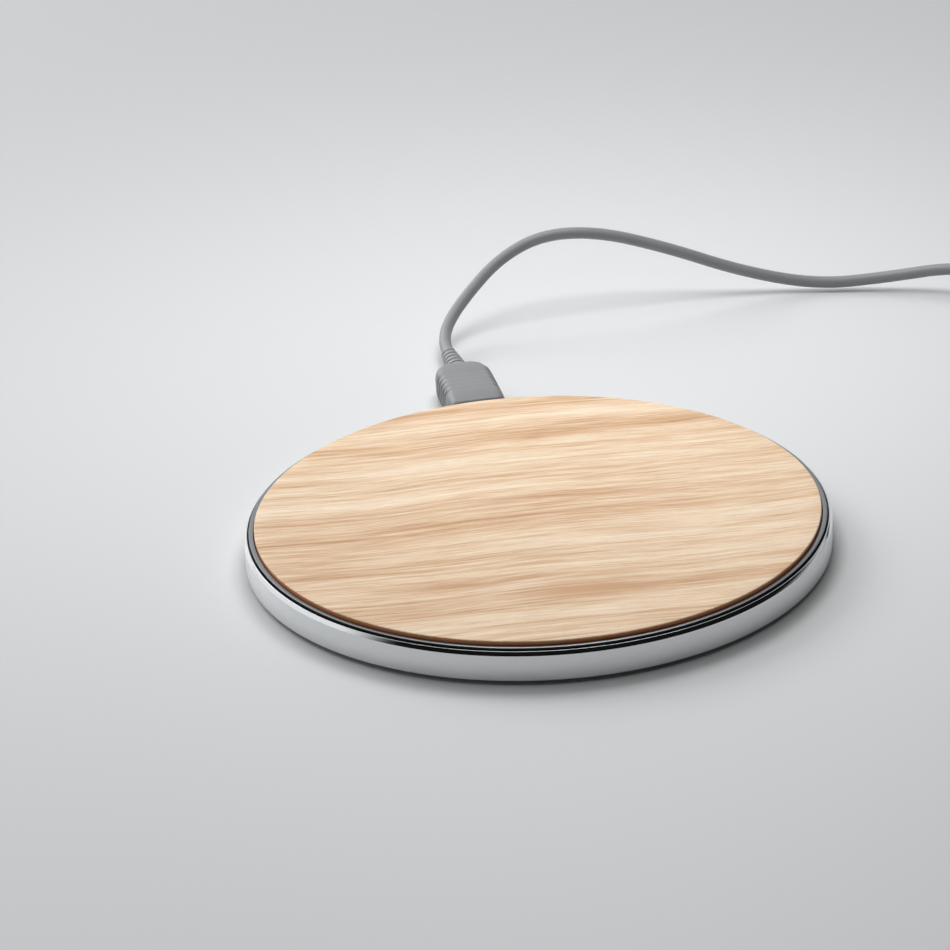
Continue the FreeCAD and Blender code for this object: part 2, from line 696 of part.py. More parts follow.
wound = CORD_LENGTH - cable_length - end_length
print(f"cord in the coil: {wound:.0f} mm, {wound / (2 * math.pi * WINDING_R):.1f} turns")
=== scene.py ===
"""Looks of a round wireless charging pad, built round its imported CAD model.

Metres, +Z up, in the CAD model's own frame: the pad stands on z = 0 and its cord leaves along +Y.
"""

import math

import bmesh
import bpy
from mathutils import Matrix, Vector


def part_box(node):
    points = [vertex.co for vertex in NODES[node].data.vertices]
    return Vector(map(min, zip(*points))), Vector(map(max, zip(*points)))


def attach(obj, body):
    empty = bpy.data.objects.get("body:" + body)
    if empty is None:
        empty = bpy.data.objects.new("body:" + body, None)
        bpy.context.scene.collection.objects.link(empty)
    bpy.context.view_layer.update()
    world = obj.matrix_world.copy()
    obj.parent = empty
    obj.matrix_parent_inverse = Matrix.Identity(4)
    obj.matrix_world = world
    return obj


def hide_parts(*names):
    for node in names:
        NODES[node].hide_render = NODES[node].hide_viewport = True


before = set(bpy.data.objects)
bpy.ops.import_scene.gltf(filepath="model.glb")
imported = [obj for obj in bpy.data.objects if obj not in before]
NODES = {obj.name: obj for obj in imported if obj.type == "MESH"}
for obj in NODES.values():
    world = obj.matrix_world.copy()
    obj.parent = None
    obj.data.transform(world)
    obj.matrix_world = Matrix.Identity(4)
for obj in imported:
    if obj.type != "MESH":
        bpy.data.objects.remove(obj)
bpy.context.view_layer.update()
MM = 0.001


# ================================================================ camera

CAMERA_PLACE = Vector((-0.1031, -0.5259, 0.2618))
CAMERA_AIM = Vector((-0.0049, 0.0309, 0.0004))
CAMERA_ROLL = math.radians(-3.1)
CAMERA_LENS = 132.2


def make_camera():
    data = bpy.data.cameras.new("camera")
    data.lens = CAMERA_LENS
    data.sensor_width = 36.0
    data.clip_start = 0.01
    data.clip_end = 20.0
    camera = bpy.data.objects.new("camera", data)
    bpy.context.scene.collection.objects.link(camera)
    forward = (CAMERA_AIM - CAMERA_PLACE).normalized()
    right = forward.cross(Vector((0, 0, 1))).normalized()
    up = right.cross(forward)
    tilted_right = math.cos(CAMERA_ROLL) * right + math.sin(CAMERA_ROLL) * up
    tilted_up = -math.sin(CAMERA_ROLL) * right + math.cos(CAMERA_ROLL) * up
    axes = Matrix((tilted_right, tilted_up, -forward)).transposed().to_4x4()
    camera.matrix_world = Matrix.Translation(CAMERA_PLACE) @ axes
    bpy.context.scene.camera = camera


make_camera()


# ================================================================ cord

CORD_D = 2.3 * MM

# The cord's route in millimetres: out of the strain relief, up in a hump, down to the table, a
# small lift, and on to the coil. The second and third points bend it more gently than the CAD's.
CORD_ROUTE = [
    (0.0, 81.0, 3.3), (0.0, 85.6, 3.3), (2.3, 92.6, 4.7), (7.5, 97.3, 8.4), (14.5, 101.0, 13.2),
    (23.5, 103.0, 16.4), (34.8, 103.3, 15.6), (48.2, 102.3, 11.1), (63.1, 100.1, 4.9),
    (78.1, 97.0, 1.3), (91.5, 92.7, 2.9), (102.8, 86.9, 5.8), (112.0, 79.6, 5.7),
    (121.0, 73.4, 3.8), (128.6, 66.3, 1.8), (133.0, 58.5, 1.2),
]

# From the top of the coil down to the far plug
END_ROUTE = [
    (130.2, 57.0, 8.1), (132.2, 52.3, 8.1), (132.8, 47.0, 8.0), (132.0, 41.6, 7.4), (130.2, 36.6, 6.2),
    (128.5, 31.2, 4.6), (127.5, 25.2, 4.0), (127.5, 22.0, 4.0),
]

# Put-away coil, wound clockwise seen from above, in millimetres
COIL_X, COIL_Y = 119.0, 52.0
WINDING_R = 13.0
WINDING_PITCH = 2.45
WINDING_ROWS = 3
WINDING_LAYERS = 3
POINTS_PER_TURN = 16
STEP_SHARE = 0.30           # share of a turn over which the cord moves to its next place
ENTRY_ANGLE = math.radians(25.1)
TIE_ANGLE = math.radians(190)
TIE_LIFT = 0.5              # how far the strap under the coil raises the turns, in millimetres
TIE_REACH = 0.5             # angle over which that lift fades, in radians
TOP_TURN_IN = 1.4           # how far the last turn, on top, lies inside the middle of the others


def smooth_step(x):
    x = min(max(x, 0.0), 1.0)
    return x * x * (3 - 2 * x)


def winding_places():
    """Radius and height of each turn: inwards along one layer, outwards along the next."""
    places = []
    for layer in range(WINDING_LAYERS):
        rows = list(range(WINDING_ROWS))
        if layer % 2 == 0:
            rows.reverse()
        for row in rows:
            radius = WINDING_R + (row - (WINDING_ROWS - 1) / 2) * WINDING_PITCH
            places.append((radius, CORD_D / MM * (layer + 0.5)))
    places.append((WINDING_R - TOP_TURN_IN, CORD_D / MM * (WINDING_LAYERS + 0.5)))
    return places


def coil_points():
    """Control points of the coil's turns, a little outside the line that they give."""
    places = winding_places()
    spread = 1 / math.cos(math.pi / POINTS_PER_TURN)
    points = []
    for index in range(1, len(places) * POINTS_PER_TURN):
        along = index / POINTS_PER_TURN
        turn = min(int(along), len(places) - 1)
        radius, height = places[turn]
        if turn + 1 < len(places):
            share = smooth_step((along - turn - 1 + STEP_SHARE) / STEP_SHARE)
            radius += (places[turn + 1][0] - radius) * share
            height += (places[turn + 1][1] - height) * share
        angle = ENTRY_ANGLE - 2 * math.pi * along
        off_tie = math.remainder(angle - TIE_ANGLE, 2 * math.pi)
        lift = TIE_LIFT if turn < len(places) - 1 else 2 * TIE_LIFT
        height += lift * math.exp(-(off_tie / TIE_REACH) ** 2)
        radius *= spread
        points.append((COIL_X + radius * math.cos(angle), COIL_Y + radius * math.sin(angle), height))
    return points


def make_cord():
    data = bpy.data.curves.new("cord", "CURVE")
    data.dimensions = "3D"
    data.bevel_depth = 1.0
    data.bevel_resolution = 6
    data.resolution_u = 8
    data.use_fill_caps = True
    spline = data.splines.new("NURBS")
    route = CORD_ROUTE + coil_points() + END_ROUTE
    spline.points.add(len(route) - 1)
    for point, place in zip(spline.points, route):
        point.co = (place[0] * MM, place[1] * MM, place[2] * MM, 1.0)
        point.radius = CORD_D / 2
    spline.order_u = 3
    spline.use_endpoint_u = True
    cord = bpy.data.objects.new("cord", data)
    bpy.context.scene.collection.objects.link(cord)
    return cord


cord = make_cord()
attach(cord, "cable")
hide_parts("cable", "cable_coil", "cable_end")


# ================================================================ mesh helpers

def finish_mesh(name, bm, materials, body, replaces):
    """Turn a bmesh into a piece that rides on a body, and hide the CAD nodes it stands for."""
    bmesh.ops.recalc_face_normals(bm, faces=bm.faces)
    mesh = bpy.data.meshes.new(name)
    bm.to_mesh(mesh)
    bm.free()
    for material in materials:
        mesh.materials.append(material)
    piece = bpy.data.objects.new(name, mesh)
    bpy.context.scene.collection.objects.link(piece)
    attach(piece, body)
    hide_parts(*replaces)
    return piece


def arc_corner(before, corner, after, radius, steps):
    """Points of a round corner of that radius between two straight stretches of an outline."""
    corner = Vector(corner)
    to_before = Vector(before) - corner
    to_after = Vector(after) - corner
    half = to_before.angle(to_after) / 2
    reach = min(radius / math.tan(half), 0.49 * to_before.length, 0.49 * to_after.length)
    radius = reach * math.tan(half)
    start = corner + to_before.normalized() * reach
    end = corner + to_after.normalized() * reach
    inwards = (to_before.normalized() + to_after.normalized()).normalized()
    centre = corner + inwards * (radius / math.sin(half))
    points = []
    for step in range(steps + 1):
        along = start.lerp(end, step / steps) - centre
        points.append(centre + along.normalized() * radius)
    return points


def rounded_outline(corners, steps):
    """Outline of (r, z, radius, material) corners in millimetres; returns ((r, z), material) points.

    The material is that of the stretch that follows the corner.
    """
    outline = []
    count = len(corners)
    for index, (r, z, radius, material) in enumerate(corners):
        before = corners[index - 1][:2]
        after = corners[(index + 1) % count][:2]
        if radius > 0:
            for point in arc_corner(before, (r, z), after, radius, steps):
                outline.append(((point.x, point.y), material))
        else:
            outline.append(((r, z), material))
    return outline


def lathe(bm, outline, steps, centre=(0, 0, 0), closed=True, axis="Z"):
    """Turn an outline of ((r, z), material) points, in millimetres, about an axis through centre."""
    rings = []
    for (r, z), _ in outline:
        ring = []
        on_axis = abs(r) < 1e-6
        for step in range(1 if on_axis else steps):
            angle = 2 * math.pi * step / steps
            across, up = r * math.cos(angle), r * math.sin(angle)
            place = (across, up, z) if axis == "Z" else (across, z, -up)
            ring.append(bm.verts.new([(c + p) * MM for c, p in zip(centre, place)]))
        rings.append(ring)
    count = len(rings)
    for index in range(count if closed else count - 1):
        lower, upper = rings[index], rings[(index + 1) % count]
        if len(lower) == 1 and len(upper) == 1:
            continue
        for step in range(steps):
            after = (step + 1) % steps
            corners = [lower[step % len(lower)], lower[after % len(lower)],
                       upper[after % len(upper)], upper[step % len(upper)]]
            kept = list(dict.fromkeys(corners))
            if len(kept) > 2:
                face = bm.faces.new(kept)
                face.material_index = outline[index][1]
                face.smooth = True


def super_ring(half_w, half_h, corner, steps):
    """Rounded rectangle as (x, z) points, with the same number of points whatever its size."""
    corner = min(corner, half_w, half_h)
    points = []
    for quarter in range(4):
        sign_x = (1, -1, -1, 1)[quarter]
        sign_z = (1, 1, -1, -1)[quarter]
        for step in range(steps + 1):
            angle = math.pi / 2 * (quarter + step / steps)
            points.append((sign_x * (half_w - corner) + corner * math.cos(angle),
                           sign_z * (half_h - corner) + corner * math.sin(angle)))
    return points


def loft(bm, sections, centre, steps, material=0):
    """Closed body along Y from (y, half_w, half_h, corner) sections, in millimetres."""
    rings = []
    for y, half_w, half_h, corner in sections:
        ring = [bm.verts.new(((centre[0] + x) * MM, y * MM, (centre[1] + z) * MM))
                for x, z in super_ring(half_w, half_h, corner, steps)]
        rings.append(ring)
    count = len(rings[0])
    for first, second in zip(rings, rings[1:]):
        for index in range(count):
            after = (index + 1) % count
            face = bm.faces.new((first[index], first[after], second[after], second[index]))
            face.smooth = True
            face.material_index = material
    for ring in (rings[0], rings[-1]):
        face = bm.faces.new(ring)
        face.material_index = material


def sharpen(piece, degrees):
    """Keep real corners crisp on a smooth-shaded piece."""
    limit = math.radians(degrees)
    bm = bmesh.new()
    bm.from_mesh(piece.data)
    for edge in bm.edges:
        if len(edge.link_faces) == 2 and edge.calc_face_angle(0) > limit:
            edge.smooth = False
    bm.to_mesh(piece.data)
    bm.free()


# ================================================================ material helpers

class Surface:
    """A node material with short calls for the nodes that the pad's finishes share."""

    def __init__(self, name, color, roughness, metallic=0.0, **sockets):
        self.material = bpy.data.materials.new(name)
        self.material.use_nodes = True
        self.tree = self.material.node_tree
        self.shader = self.tree.nodes["Principled BSDF"]
        self.shader.inputs["Base Color"].default_value = (*color, 1)
        self.shader.inputs["Roughness"].default_value = roughness
        self.shader.inputs["Metallic"].default_value = metallic
        for socket, value in sockets.items():
            self.shader.inputs[socket.replace("_", " ")].default_value = value
        self.height = None

    def node(self, kind, links=None, **settings):
        made = self.tree.nodes.new(kind)
        for key, value in settings.items():
            setattr(made, key, value)
        for socket, value in (links or {}).items():
            if isinstance(value, bpy.types.NodeSocket):
                self.tree.links.new(value, made.inputs[socket])
            else:
                made.inputs[socket].default_value = value
        return made

    def place(self, scale=(1, 1, 1), turn=0.0):
        """Object coordinates in millimetres, turned about Z and then scaled."""
        coords = self.node("ShaderNodeTexCoord").outputs["Object"]
        turned = self.node("ShaderNodeMapping", {"Vector": coords, "Rotation": (0, 0, turn),
                                                 "Scale": (1 / MM,) * 3})
        return self.stretch(turned.outputs[0], scale)

    def stretch(self, vector, scale, shift=(0, 0, 0)):
        made = self.node("ShaderNodeMapping", {"Vector": vector, "Scale": scale, "Location": shift})
        return made.outputs[0]

    def noise(self, vector, detail, roughness=0.5):
        made = self.node("ShaderNodeTexNoise", {"Vector": vector, "Scale": 1.0, "Detail": detail,
                                                "Roughness": roughness})
        return made.outputs["Fac"]

    def ramp(self, value, *stops):
        """Colour ramp of (place, colour) stops; a colour may be one grey number."""
        made = self.node("ShaderNodeValToRGB", {"Fac": value})
        elements = made.color_ramp.elements
        while len(elements) < len(stops):
            elements.new(0.5)
        for element, (place, color) in zip(elements, stops):
            element.position = place
            color = (color,) * 3 if isinstance(color, (int, float)) else color
            element.color = (*color, 1)
        return made.outputs["Color"]

    def mix(self, share, first, second):
        made = self.node("ShaderNodeMix", data_type="RGBA")
        for socket, value in ((0, share), (6, first), (7, second)):
            if isinstance(value, bpy.types.NodeSocket):
                self.tree.links.new(value, made.inputs[socket])
            elif socket == 0:
                made.inputs[socket].default_value = value
            else:
                made.inputs[socket].default_value = (*value, 1)
        return made.outputs[2]

    def spread(self, value, low, high):
        """Map 0..1 to low..high."""
        made = self.node("ShaderNodeMapRange", {"Value": value, "To Min": low, "To Max": high})
        return made.outputs[0]

    def math(self, operation, first, second=0.0):
        made = self.node("ShaderNodeMath", {0: first, 1: second}, operation=operation)
        return made.outputs[0]

    def color(self, socket):
        self.tree.links.new(socket, self.shader.inputs["Base Color"])

    def rough(self, socket):
        self.tree.links.new(socket, self.shader.inputs["Roughness"])

    def bump(self, height, depth_mm, strength):
        """Bump whose full range is that deep; several calls stack."""
        made = self.node("ShaderNodeBump", {"Height": height, "Strength": strength,
                                            "Distance": depth_mm * MM})
        if self.height is not None:
            self.tree.links.new(self.height, made.inputs["Normal"])
        self.height = made.outputs[0]
        self.tree.links.new(self.height, self.shader.inputs["Normal"])


# ================================================================ materials

def satin_metal(name, color, roughness, grain_mm=0.12, depth_mm=0.004):
    """Bead-blasted metal: fine even grain and faint broad changes in polish."""
    made = Surface(name, color, roughness, 1.0)
    fine = made.noise(made.place((1 / grain_mm,) * 3), detail=2.0)
    broad = made.noise(made.place((0.06,) * 3), detail=3.0)
    made.color(made.mix(made.spread(broad, 0.0, 1.0), tuple(0.94 * c for c in color), color))
    made.rough(made.math("ADD", made.spread(fine, -0.07, 0.07),
                         made.spread(broad, roughness - 0.04, roughness + 0.05)))
    made.bump(fine, depth_mm, 0.35)
    return made.material


def polished_metal(name, color, roughness):
    """Diamond-cut metal: bright, with hair-fine turning marks."""
    made = Surface(name, color, roughness, 1.0)
    marks = made.noise(made.place((0.25, 0.25, 30.0)), detail=3.0)
    made.rough(made.spread(marks, 0.7 * roughness, 1.6 * roughness))
    made.color(made.mix(marks, tuple(0.96 * c for c in color), color))
    made.bump(marks, 0.0008, 0.4)
    return made.material


def moulded_plastic(name, color, roughness, grain_mm=0.25, depth_mm=0.012):
    """Injection-moulded plastic with a fine spark texture and slight unevenness."""
    made = Surface(name, color, roughness)
    fine = made.noise(made.place((1 / grain_mm,) * 3), detail=3.0)
    broad = made.noise(made.place((0.08,) * 3), detail=2.0)
    light = tuple(min(1.0, 1.12 * c + 0.004) for c in color)
    made.color(made.mix(broad, tuple(0.9 * c for c in color), light))
    made.rough(made.math("ADD", made.spread(fine, -0.06, 0.06),
                         made.spread(broad, roughness - 0.05, roughness + 0.05)))
    made.bump(fine, depth_mm, 0.5)
    return made.material


GRAIN_TURN = math.radians(4.0)
GRAIN_WAVE = 56.0       # the grain swings from side to side over this length, in millimetres
GRAIN_SWING = 0.5
GRAIN_PHASE = 13.0
KNOT_PLACE = (2.5, -31.5, 7.0)      # middle of the one warm, darker patch in the wood, in millimetres
KNOT_SIZE = (15.0, 6.5, 6.5)


def bamboo_surface(name, cut_edge=False):
    """Honey-coloured wood: long bands, short pale and tan streaks, fine fibres and one warm patch."""
    made = Surface(name, (0.64, 0.47, 0.32), 0.5, Coat_Weight=0.05, Coat_Roughness=0.4)
    grain = made.place(turn=GRAIN_TURN)
    along = made.node("ShaderNodeSeparateXYZ", {"Vector": grain}).outputs["X"]
    phase = made.math("MULTIPLY", made.math("ADD", along, GRAIN_PHASE), 2 * math.pi / GRAIN_WAVE)
    swing = made.math("MULTIPLY", made.math("SINE", phase), -GRAIN_SWING)
    drift = made.noise(made.stretch(grain, (0.028, 0.045, 0.045), (0, 2.3, 0)), detail=1.0)
    lift = made.math("ADD", swing, made.spread(drift, -1.5, 1.5))
    lift = made.node("ShaderNodeCombineXYZ", {1: lift}).outputs[0]
    grain = made.node("ShaderNodeVectorMath", {0: grain, 1: lift}, operation="ADD").outputs[0]
    bands = made.noise(made.stretch(grain, (0.010, 0.17, 0.17)), detail=2.0)
    streaks = made.noise(made.stretch(grain, (0.040, 1.0, 1.0), (5.2, 0, 0)), detail=3.0, roughness=0.62)
    dashes = made.noise(made.stretch(grain, (0.11, 3.0, 3.0), (0, 7.7, 0)), detail=2.0)
    fibres = made.noise(made.stretch(grain, (0.35, 8.5, 8.5)), detail=2.0, roughness=0.6)
    tone = made.math("ADD", made.spread(bands, -0.46, 0.46), made.spread(streaks, 0.10, 0.90))
    tone = made.math("ADD", tone, made.spread(dashes, -0.32, 0.32))
    base = made.ramp(tone, (0.20, (0.53, 0.280, 0.125)), (0.40, (0.72, 0.475, 0.280)),
                     (0.56, (0.84, 0.630, 0.425)), (0.80, (0.93, 0.790, 0.610)))
    base = made.mix(made.ramp(fibres, (0.32, 0.30), (0.52, 0.0)), base, (0.40, 0.22, 0.11))
    knot = made.node("ShaderNodeMapping", {"Vector": made.place(), "Location": KNOT_PLACE,
                                           "Rotation": (0, 0, -GRAIN_TURN), "Scale": KNOT_SIZE},
                     vector_type="TEXTURE").outputs[0]
    round_knot = made.node("ShaderNodeTexGradient", {"Vector": knot}, gradient_type="SPHERICAL")
    streaked = made.ramp(streaks, (0.30, 1.0), (0.62, 0.35))
    knot_share = made.math("MULTIPLY", round_knot.outputs["Fac"], streaked)
    base = made.mix(made.ramp(knot_share, (0.0, 0.0), (0.5, 0.85)), base, (0.58, 0.315, 0.145))
    if cut_edge:
        base = made.mix(0.88, base, (0.62, 0.19, 0.06))
    made.color(base)
    made.rough(made.spread(dashes, 0.40, 0.62))
    made.bump(fibres, 0.02, 0.4)
    made.bump(dashes, 0.03, 0.3)
    return made.material


def cord_surface():
    """Soft grey jacket with a faint matt bloom."""
    made = Surface("cord_jacket", (0.25, 0.255, 0.26), 0.5, Sheen_Weight=0.05)
    broad = made.noise(made.place((0.15,) * 3), detail=3.0)
    fine = made.noise(made.place((3.5,) * 3), detail=2.0)
    made.color(made.mix(broad, (0.23, 0.236, 0.24), (0.27, 0.276, 0.28)))
    made.rough(made.spread(fine, 0.42, 0.6))
    made.bump(fine, 0.01, 0.4)
    return made.material


def woven_strap():
    """Hook-and-loop strap: fine diagonal weave with loose fuzz."""
    made = Surface("tie_fabric", (0.03, 0.03, 0.032), 0.85, Sheen_Weight=0.4, Sheen_Roughness=0.5)
    coords = made.place((1, 1, 1))
    warp = made.node("ShaderNodeTexWave", {"Vector": coords, "Scale": 1.6, "Distortion": 0.6},
                     wave_type="BANDS", bands_direction="DIAGONAL").outputs["Fac"]
    fuzz = made.noise(made.place((4.0,) * 3), detail=4.0)
    made.color(made.mix(made.math("MULTIPLY", warp, fuzz), (0.015, 0.015, 0.017), (0.075, 0.076, 0.08)))
    made.bump(warp, 0.12, 0.7)
    made.bump(fuzz, 0.10, 0.6)
    return made.material


def copper_wire():
    """Enamelled copper: warm, with the strands of the wire round the coil."""
    made = Surface("copper", (0.74, 0.33, 0.16), 0.34, 1.0, Coat_Weight=0.5, Coat_Roughness=0.2)
    strands = made.noise(made.place((2.2, 2.2, 6.0)), detail=3.0)
    made.color(made.mix(strands, (0.60, 0.24, 0.10), (0.83, 0.41, 0.21)))
    made.rough(made.spread(strands, 0.24, 0.44))
    made.bump(strands, 0.05, 0.5)
    return made.material


def board_surface():
    """Green solder mask with the fine relief of the tracks under it."""
    made = Surface("board", (0.012, 0.085, 0.035), 0.28, Coat_Weight=0.4, Coat_Roughness=0.12)
    tracks = made.node("ShaderNodeTexBrick", {
        "Vector": made.place((0.16, 0.16, 0.16)), "Color1": (1, 1, 1, 1), "Color2": (0.8, 0.8, 0.8, 1),
        "Mortar": (0, 0, 0, 1), "Mortar Size": 0.05, "Brick Width": 0.9}).outputs["Color"]
    broad = made.noise(made.place((0.3,) * 3), detail=3.0)
    made.color(made.mix(made.math("MULTIPLY", broad, tracks), (0.010, 0.060, 0.026),
                        (0.020, 0.125, 0.050)))
    made.bump(tracks, 0.03, 0.6)
    return made.material


def speckled(name, color, second, roughness, grain_mm):
    """Pressed or fired body, such as ferrite or a ceramic component."""
    made = Surface(name, color, roughness)
    grain = made.noise(made.place((1 / grain_mm,) * 3), detail=4.0, roughness=0.65)
    made.color(made.mix(grain, color, second))
    made.rough(made.spread(grain, roughness - 0.1, roughness + 0.1))
    made.bump(grain, 0.02, 0.4)
    return made.material


def clear_rod(name, color):
    made = Surface(name, color, 0.12, Transmission_Weight=0.85, IOR=1.49)
    haze = made.noise(made.place((1.2,) * 3), detail=2.0)
    made.rough(made.spread(haze, 0.08, 0.22))
    made.color(made.mix(haze, tuple(0.92 * c for c in color), color))
    return made.material


RING_SATIN = satin_metal("ring_satin", (0.80, 0.81, 0.82), 0.34)
# Painted shade: the ring's aluminium darkened on the ledge to the dim level of the reflection it shows.
RING_LEDGE_PAINTED_SHADE = satin_metal("ring_ledge_painted_shade", (0.25, 0.26, 0.27), 0.30, 0.1, 0.002)
RING_BRIGHT = polished_metal("ring_bright", (0.88, 0.89, 0.90), 0.07)
RING_RIM = satin_metal("ring_rim", (0.62, 0.63, 0.64), 0.30, 0.1, 0.002)
# Painted shade: near-black colour for the groove, the ledge's inner wall, the flange and the port's cut
# faces, where the shade of these recesses falls.
RING_PAINTED_SHADE = satin_metal("ring_painted_shade", (0.035, 0.036, 0.038), 0.5)
BAMBOO_TOP = bamboo_surface("bamboo_top")
BAMBOO_EDGE = bamboo_surface("bamboo_edge", cut_edge=True)
BASE_PLASTIC = moulded_plastic("base_plastic", (0.028, 0.028, 0.030), 0.52, 0.3, 0.02)
INNER_PLASTIC = moulded_plastic("inner_plastic", (0.04, 0.04, 0.042), 0.45)
SILICONE = moulded_plastic("silicone", (0.045, 0.046, 0.048), 0.72, 0.18, 0.02)
GRIP_PLASTIC = moulded_plastic("grip_plastic", (0.215, 0.22, 0.225), 0.48, 0.22, 0.012)
CONNECTOR_PLASTIC = moulded_plastic("connector_plastic", (0.018, 0.018, 0.02), 0.4, 0.2, 0.004)
USB_INSULATOR = moulded_plastic("usb_insulator", (0.74, 0.74, 0.73), 0.4, 0.2, 0.004)
CHIP_PLASTIC = moulded_plastic("chip_plastic", (0.02, 0.02, 0.022), 0.55, 0.12, 0.01)
CONNECTOR_STEEL = satin_metal("connector_steel", (0.72, 0.72, 0.73), 0.36, 0.3, 0.001)
SCREW_STEEL = satin_metal("screw_steel", (0.45, 0.45, 0.46), 0.30, 0.15, 0.002)
CONTACT_GOLD = polished_metal("contact_gold", (0.86, 0.62, 0.24), 0.16)
COPPER = copper_wire()
BOARD = board_surface()
FERRITE = speckled("ferrite", (0.035, 0.035, 0.04), (0.075, 0.075, 0.08), 0.6, 0.2)
CERAMIC_PART = speckled("ceramic_part", (0.36, 0.22, 0.12), (0.48, 0.32, 0.19), 0.4, 0.15)
RESISTOR_PART = speckled("resistor_part", (0.02, 0.02, 0.022), (0.06, 0.06, 0.065), 0.4, 0.1)
ADHESIVE = speckled("adhesive", (0.62, 0.58, 0.46), (0.72, 0.68, 0.56), 0.35, 0.8)
LAMP = clear_rod("lamp", (0.85, 0.9, 0.82))
CLEAR_PLASTIC = clear_rod("clear_plastic", (0.93, 0.95, 0.96))
CORD_JACKET = cord_surface()
TIE_FABRIC = woven_strap()

cord.data.materials.append(CORD_JACKET)


# ================================================================ metal ring

LATHE_STEPS = 360

# Sizes of the ring and of the two openings in its wall, in millimetres
PAD_R = 50.0
RING_Z = 0.8                # underside of the wall
RING_INNER_R = 48.3
BEVEL_Z, BEVEL_TOP_Z = 5.25, 5.88
BEVEL_TOP_R = 49.6
GROOVE_OUTER_R, GROOVE_INNER_R = 49.42, 49.15
GROOVE_FLOOR_Z = 5.3
LEDGE_Z, LEDGE_INNER_R = 6.3, 48.35
FLANGE_R = 46.4             # inner edge of the flange under the deck
FLANGE_Z, FLANGE_TOP_Z = 4.3, 4.9

PORT_Z = 3.3
PORT_HALF_W, PORT_HALF_H, PORT_CORNER = 4.13, 1.53, 0.8
PIPE_X, PIPE_R = 9.0, 0.8


def make_ring():
    """Turned ring: satin wall, bright bevel, groove and flat ledge, with painted shade: near-black in the
    groove and on the inner faces, dim grey on the ledge.
    """
    # The near-black slot paints the shade in the groove and on the hidden inner faces.
    satin, bright, groove, ledge, rim = range(5)
    edge_break = 0.12
    corners = [
        (RING_INNER_R, RING_Z, 0.0, satin),
        (PAD_R - edge_break, RING_Z, 0.03, satin),
        (PAD_R, RING_Z + edge_break, 0.06, satin),
        (PAD_R, BEVEL_Z, 0.05, bright),
        (BEVEL_TOP_R, BEVEL_TOP_Z, 0.04, rim),
        (GROOVE_OUTER_R, BEVEL_TOP_Z, 0.03, groove),
        (GROOVE_OUTER_R, GROOVE_FLOOR_Z, 0.0, groove),
        (GROOVE_INNER_R, GROOVE_FLOOR_Z, 0.0, groove),
        (GROOVE_INNER_R, LEDGE_Z, 0.05, ledge),
        (LEDGE_INNER_R, LEDGE_Z, 0.05, groove),
        (LEDGE_INNER_R, FLANGE_TOP_Z, 0.0, groove),
        (FLANGE_R, FLANGE_TOP_Z, 0.0, groove),
        (FLANGE_R, FLANGE_Z, 0.0, groove),
        (RING_INNER_R, FLANGE_Z, 0.0, groove),
    ]
    bm = bmesh.new()
    lathe(bm, rounded_outline(corners, 3), LATHE_STEPS)
    return finish_mesh("ring", bm, [RING_SATIN, RING_BRIGHT, RING_PAINTED_SHADE, RING_LEDGE_PAINTED_SHADE, RING_RIM], "pad",
                       ["housing_ring"])


def cut_away(piece, cutters):
    """Cut the cutters' bodies out of a piece; the cut faces take the cutters' material numbers."""
    bmesh.ops.recalc_face_normals(cutters, faces=cutters.faces)
    mesh = bpy.data.meshes.new("cutter")
    cutters.to_mesh(mesh)
    cutters.free()
    for material in piece.data.materials:
        mesh.materials.append(material)
    cutter = bpy.data.objects.new("cutter", mesh)
    bpy.context.scene.collection.objects.link(cutter)
    cut = piece.modifiers.new("cut", "BOOLEAN")
    cut.operation = "DIFFERENCE"
    cut.solver = "EXACT"
    cut.object = cutter
    bpy.context.view_layer.update()
    evaluated = piece.evaluated_get(bpy.context.evaluated_depsgraph_get())
    piece.data = bpy.data.meshes.new_from_object(evaluated)
    piece.modifiers.clear()
    bpy.data.objects.remove(cutter)


def cut_port(ring):
    """Cut the socket's opening and the light pipe's hole through the ring's wall."""
    # The opening's and the hole's cut faces take the near-black painted shade.
    groove = 2
    port_y, pipe_y, outside_y = 45.0, 44.5, PAD_R + 2.0
    cutters = bmesh.new()
    sections = [(y, PORT_HALF_W, PORT_HALF_H, PORT_CORNER) for y in (port_y, outside_y)]
    loft(cutters, sections, (0.0, PORT_Z), 6, groove)
    outline = [(0.0, pipe_y), (PIPE_R, pipe_y), (PIPE_R, outside_y), (0.0, outside_y)]
    hole = [(point, groove) for point in outline]
    lathe(cutters, hole, 32, (PIPE_X, 0.0, PORT_Z), closed=False, axis="Y")
    cut_away(ring, cutters)


ring = make_ring()
cut_port(ring)
sharpen(ring, 25)


# ================================================================ wooden top

WOOD_R = 48.2
WOOD_Z, WOOD_TOP_Z = 5.8, 7.0


def make_wood_top():
    """Disc of wood with a softened rim and a darker cut edge."""
    top, edge = 0, 1
    corners = [
        (0.0, WOOD_Z, 0.0, edge),
        (WOOD_R, WOOD_Z, 0.05, edge),
        (WOOD_R, WOOD_TOP_Z, 0.16, top),
        (0.0, WOOD_TOP_Z, 0.0, edge),
    ]
    outline = rounded_outline(corners, 4)
    inner = [((r, WOOD_TOP_Z), top) for r in (46.0, 40.0, 30.0, 20.0, 10.0)]
    outline = outline[:-1] + inner + outline[-1:]
    bm = bmesh.new()
    lathe(bm, outline, LATHE_STEPS, closed=False)
    return finish_mesh("wood_disc", bm, [BAMBOO_TOP, BAMBOO_EDGE], "pad", ["wood_top"])


make_wood_top()


# ================================================================ feet

FOOT_R, FOOT_HEIGHT = 4.5, 1.0
DISH_R, DISH_DEPTH = 3.2, 0.10


